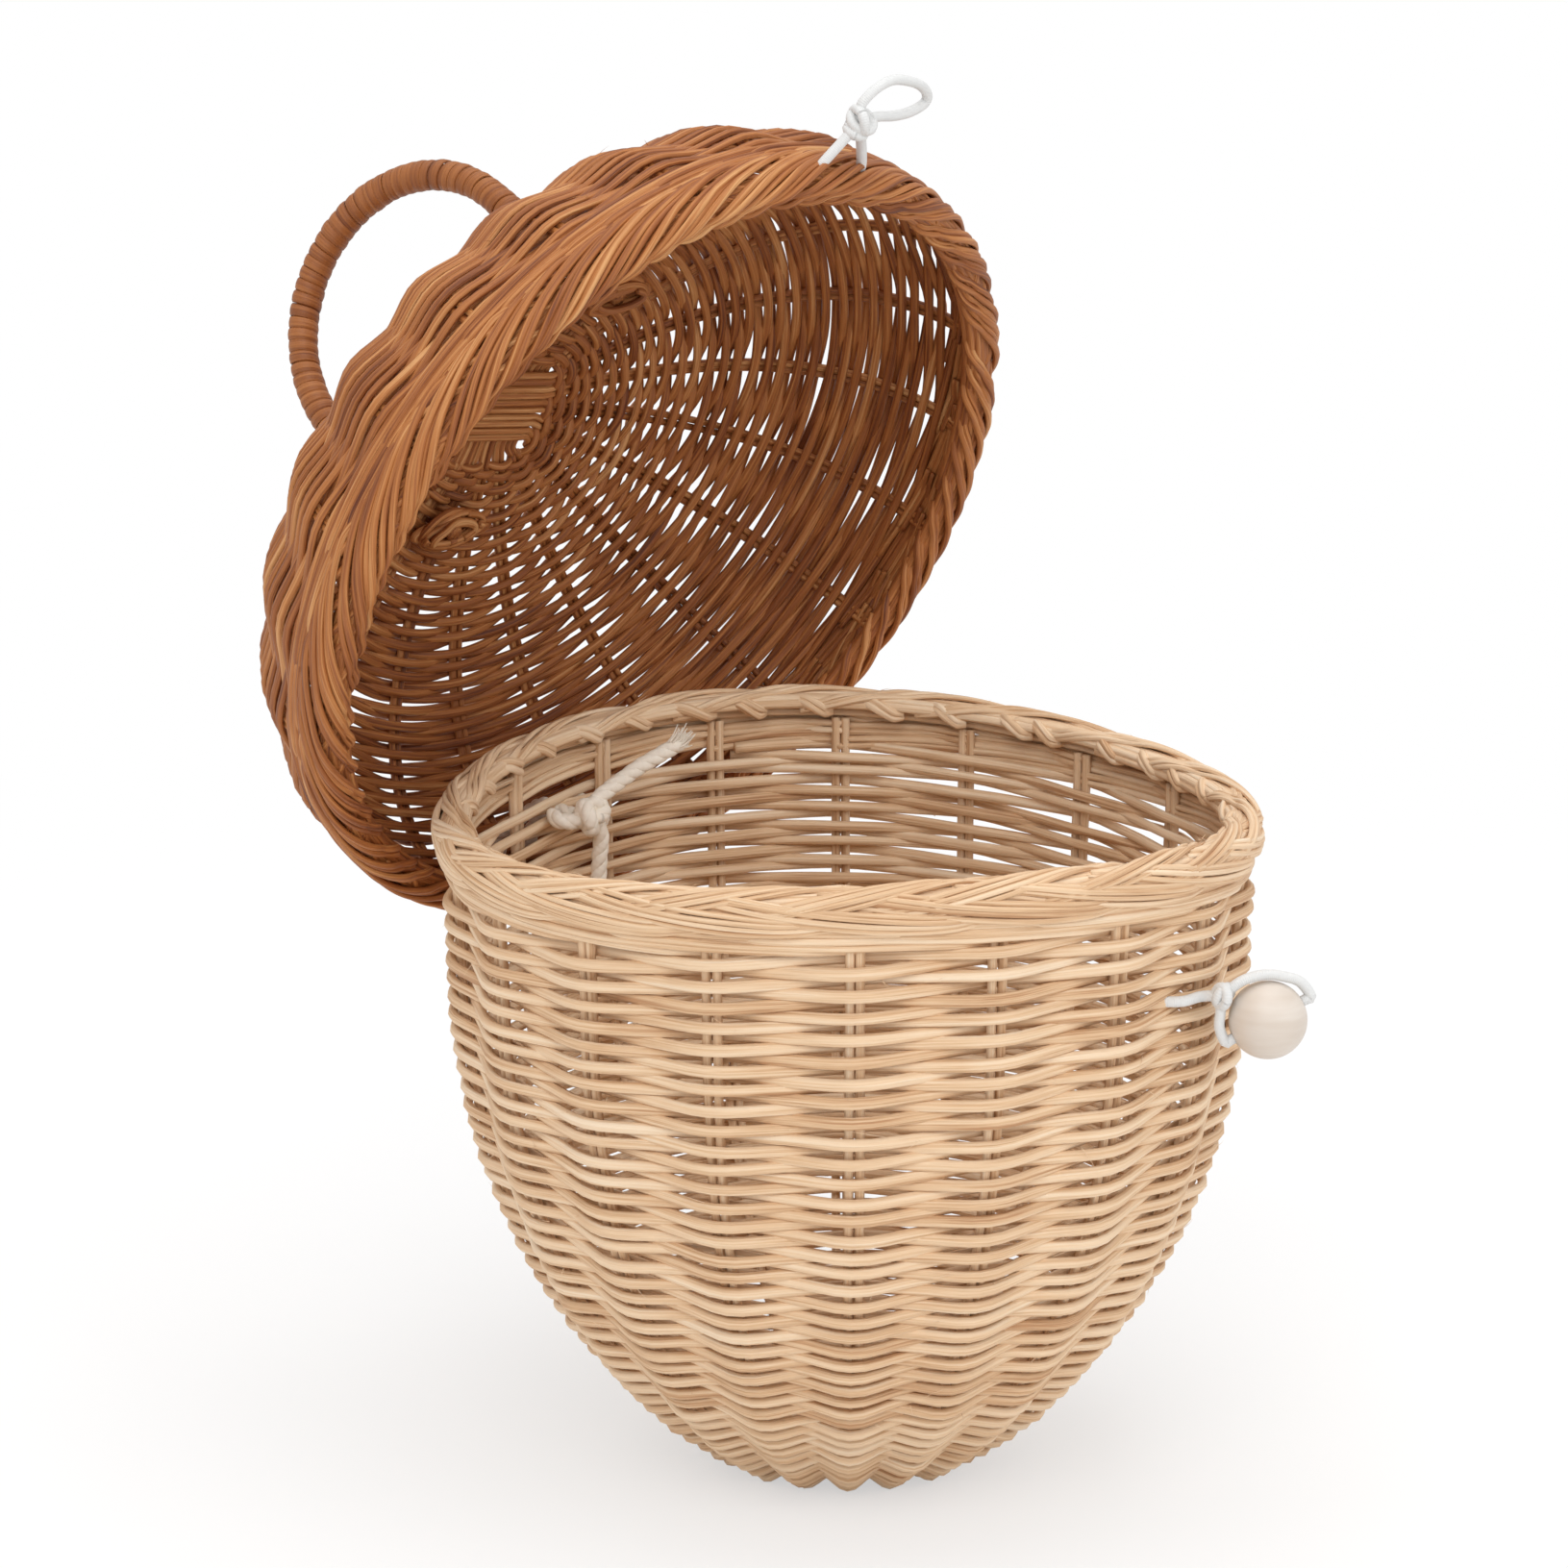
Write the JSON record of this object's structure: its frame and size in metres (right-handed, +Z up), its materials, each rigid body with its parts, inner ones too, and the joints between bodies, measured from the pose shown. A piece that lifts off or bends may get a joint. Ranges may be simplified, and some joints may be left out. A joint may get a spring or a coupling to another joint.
{
  "type": "lidded storage basket",
  "caption": "Acorn-shaped woven rattan basket with a stained domed lid hinged on a cotton tie, a wrapped loop handle, and a bead and elastic loop as its fastener.",
  "frame": {"origin": "middle of the flat base, on the surface that the basket stands on", "axes": "+Z up; +Y towards the back, where the lid hangs open; +X to the right of someone who looks at the front"},
  "size_m": [0.238, 0.3385, 0.3671],
  "materials": {
    "natural_cane": "matt, unvarnished",
    "stained_cane": "satin, stained",
    "wrapping_cane": "satin, stained",
    "pale_wood": "smooth, waxed",
    "elastic": "ribbed cord",
    "cotton": "soft twisted cord"
  },
  "bodies": {
    "basket": {"body_weave": "natural_cane", "body_stake_1": "natural_cane", "body_stake_2": "natural_cane", "body_stake_3": "natural_cane", "body_stake_4": "natural_cane", "body_stake_5": "natural_cane", "body_stake_6": "natural_cane", "body_stake_7": "natural_cane", "body_stake_8": "natural_cane", "body_stake_9": "natural_cane", "body_stake_10": "natural_cane", "body_stake_11": "natural_cane", "body_stake_12": "natural_cane", "body_stake_13": "natural_cane", "body_stake_14": "natural_cane", "body_stake_15": "natural_cane", "body_stake_16": "natural_cane", "body_stake_17": "natural_cane", "body_stake_18": "natural_cane", "body_cross_lower": "natural_cane", "body_cross_upper": "natural_cane", "body_wale": "natural_cane", "body_border": "natural_cane", "hinge_tie_knot": "cotton", "hinge_tie_tail_up": "cotton", "hinge_tie_link": "cotton"},
    "lid": {"lid_weave": "stained_cane", "lid_stake_1": "stained_cane", "lid_stake_2": "stained_cane", "lid_stake_3": "stained_cane", "lid_stake_4": "stained_cane", "lid_stake_5": "stained_cane", "lid_stake_6": "stained_cane", "lid_stake_7": "stained_cane", "lid_stake_8": "stained_cane", "lid_stake_9": "stained_cane", "lid_stake_10": "stained_cane", "lid_stake_11": "stained_cane", "lid_stake_12": "stained_cane", "lid_stake_13": "stained_cane", "lid_stake_14": "stained_cane", "lid_stake_15": "stained_cane", "lid_stake_16": "stained_cane", "lid_stake_17": "stained_cane", "lid_stake_18": "stained_cane", "lid_stake_19": "stained_cane", "lid_stake_20": "stained_cane", "lid_stake_21": "stained_cane", "lid_stake_22": "stained_cane", "lid_cross_outer": "stained_cane", "lid_cross_inner": "stained_cane", "lid_wale": "stained_cane", "lid_border": "stained_cane", "handle_core": "stained_cane", "handle_wrap": "wrapping_cane", "handle_lashing_1": "stained_cane", "handle_lashing_2": "stained_cane"},
    "lid_loop": {"lid_loop": "elastic"},
    "bead_cord": {"bead_elastic": "elastic"},
    "bead": {"bead": "pale_wood"}
  },
  "joints": [
    {"name": "lid_hinge", "type": "hinge", "parent": "basket", "child": "lid", "pos_m": [0, 0.0724, 0.1611], "axis": [-1, 0, 0], "range_deg": [-65.2, 0], "deforming": ["hinge_tie_link"]},
    {"name": "lid_loop_flex", "type": "hinge", "parent": "lid", "child": "lid_loop", "pos_m": [0.02051, 0.01799, 0.34535], "axis": [0.986, 0.0699, -0.1514], "range_deg": [-55, 85], "stiffness_Nm_per_rad": 0.002},
    {"name": "bead_swing", "type": "hinge", "parent": "basket", "child": "bead_cord", "pos_m": [0.01226, -0.10438, 0.1448], "axis": [0.9932, 0.1167, 0], "range_deg": [-40, 10], "stiffness_Nm_per_rad": 0.012, "springref_deg": -1.78},
    {"name": "bead_spin", "type": "hinge", "parent": "bead_cord", "child": "bead", "pos_m": [0.0286, -0.11911, 0.1394], "axis": [0.6967, -0.5502, 0.4602], "continuous": true}
  ]
}
